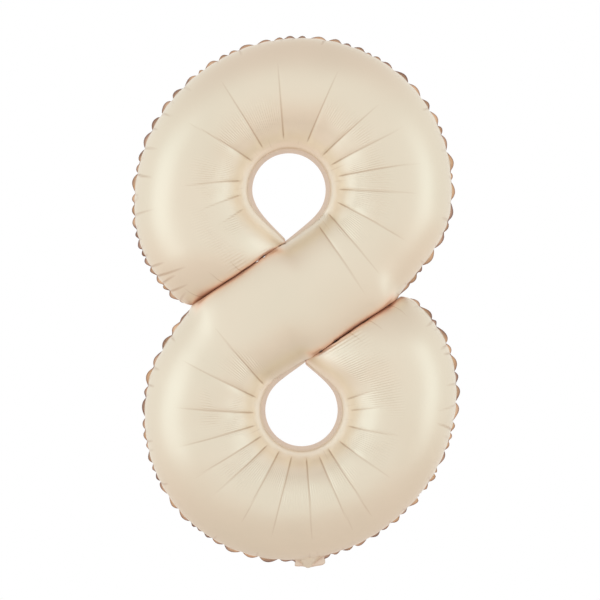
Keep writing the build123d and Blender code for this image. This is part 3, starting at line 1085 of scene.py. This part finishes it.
FLOOR_RADIUS = 1.5
floor_shape = bmesh.new()
bmesh.ops.create_circle(floor_shape, cap_ends=True, segments=96, radius=FLOOR_RADIUS)
floor_mesh = bpy.data.meshes.new("studio_floor")
floor_shape.to_mesh(floor_mesh)
floor_shape.free()
floor = bpy.data.objects.new("studio_floor", floor_mesh)
floor.location = (0, 0, -0.25)
bpy.context.scene.collection.objects.link(floor)
floor_finish = bpy.data.materials.new("white_floor")
floor_finish.use_nodes = True
floor_nodes = floor_finish.node_tree.nodes
floor_links = floor_finish.node_tree.links
paint = floor_nodes["Principled BSDF"]
paint.inputs["Base Color"].default_value = (0.90, 0.83, 0.79, 1)
paint.inputs["Roughness"].default_value = 0.9
spot = floor_nodes.new("ShaderNodeTexCoord")
radius = floor_nodes.new("ShaderNodeVectorMath")
radius.operation = "LENGTH"
floor_links.new(spot.outputs["Object"], radius.inputs[0])
fade = floor_nodes.new("ShaderNodeMapRange")
fade.inputs["From Min"].default_value = 0.35
fade.inputs["From Max"].default_value = FLOOR_RADIUS * 0.96
floor_links.new(radius.outputs["Value"], fade.inputs["Value"])
clear = floor_nodes.new("ShaderNodeBsdfTransparent")
blend = floor_nodes.new("ShaderNodeMixShader")
floor_links.new(fade.outputs["Result"], blend.inputs["Fac"])
floor_links.new(paint.outputs["BSDF"], blend.inputs[1])
floor_links.new(clear.outputs["BSDF"], blend.inputs[2])
floor_links.new(blend.outputs["Shader"], floor_nodes["Material Output"].inputs["Surface"])
floor_mesh.materials.append(floor_finish)

world = bpy.data.worlds.new("white_room")
bpy.context.scene.world = world
world.use_nodes = True
room = world.node_tree.nodes
room_links = world.node_tree.links
toward = room.new("ShaderNodeTexCoord")
tall = room.new("ShaderNodeSeparateXYZ")
room_links.new(toward.outputs["Generated"], tall.inputs["Vector"])
half = room.new("ShaderNodeMath")
half.operation = "MULTIPLY_ADD"
half.inputs[1].default_value = 0.5
half.inputs[2].default_value = 0.5
room_links.new(tall.outputs["Z"], half.inputs[0])
walls = room.new("ShaderNodeValToRGB")
stops = walls.color_ramp.elements
while len(stops) < 5:
    stops.new(0.5)
for stop, (place, colour) in zip(
    stops,
    (
        (0.03, (0.84, 0.66, 0.58)),
        (0.24, (0.96, 0.85, 0.79)),
        (0.42, (1.0, 0.99, 0.98)),
        (0.76, (1.0, 1.0, 0.99)),
        (0.95, (0.83, 0.74, 0.71)),
    ),
):
    stop.position = place
    stop.color = (*colour, 1)
room_links.new(half.outputs["Value"], walls.inputs["Fac"])
ray = room.new("ShaderNodeLightPath")
seen = room.new("ShaderNodeMath")
seen.operation = "MAXIMUM"
room_links.new(ray.outputs["Is Camera Ray"], seen.inputs[0])
room_links.new(ray.outputs["Is Transmission Ray"], seen.inputs[1])
colour = room.new("ShaderNodeMix")
colour.data_type = "RGBA"
colour.inputs["B"].default_value = (1, 1, 1, 1)
room_links.new(seen.outputs["Value"], colour.inputs["Factor"])
room_links.new(walls.outputs["Color"], colour.inputs["A"])
sky = room["Background"]
sky.inputs["Strength"].default_value = 1.0
room_links.new(colour.outputs["Result"], sky.inputs["Color"])

AIM = Vector((-0.016, 0, 0.432))
SOFT_BOXES = (
    ("left_box", (-1.75, -1.15, 0.52), 1.3, 1.9, 3.9),
    ("right_box", (1.95, -1.15, 0.50), 1.0, 2.0, 3.0),
)
for name, place, wide, tall, watts in SOFT_BOXES:
    lamp = bpy.data.lights.new(name, "AREA")
    lamp.shape = "RECTANGLE"
    lamp.size = wide
    lamp.size_y = tall
    lamp.energy = watts
    lamp.color = (0.62, 0.86, 1.0)
    box = bpy.data.objects.new(name, lamp)
    box.location = place
    box.rotation_euler = (AIM - Vector(place)).to_track_quat("-Z", "Y").to_euler()
    bpy.context.scene.collection.objects.link(box)

# The camera looks straight at the front from four metres.
VIEW_HEIGHT = 0.9681
LENS = 150
SENSOR = 36
camera = bpy.data.objects.new("camera", bpy.data.cameras.new("camera"))
camera.data.lens = LENS
camera.data.sensor_width = SENSOR
camera.location = (-0.0161, -VIEW_HEIGHT * LENS / SENSOR, 0.4321)
camera.rotation_euler = (math.pi / 2, 0, 0)
bpy.context.scene.collection.objects.link(camera)
bpy.context.scene.camera = camera
bpy.context.scene.view_settings.view_transform = "Standard"
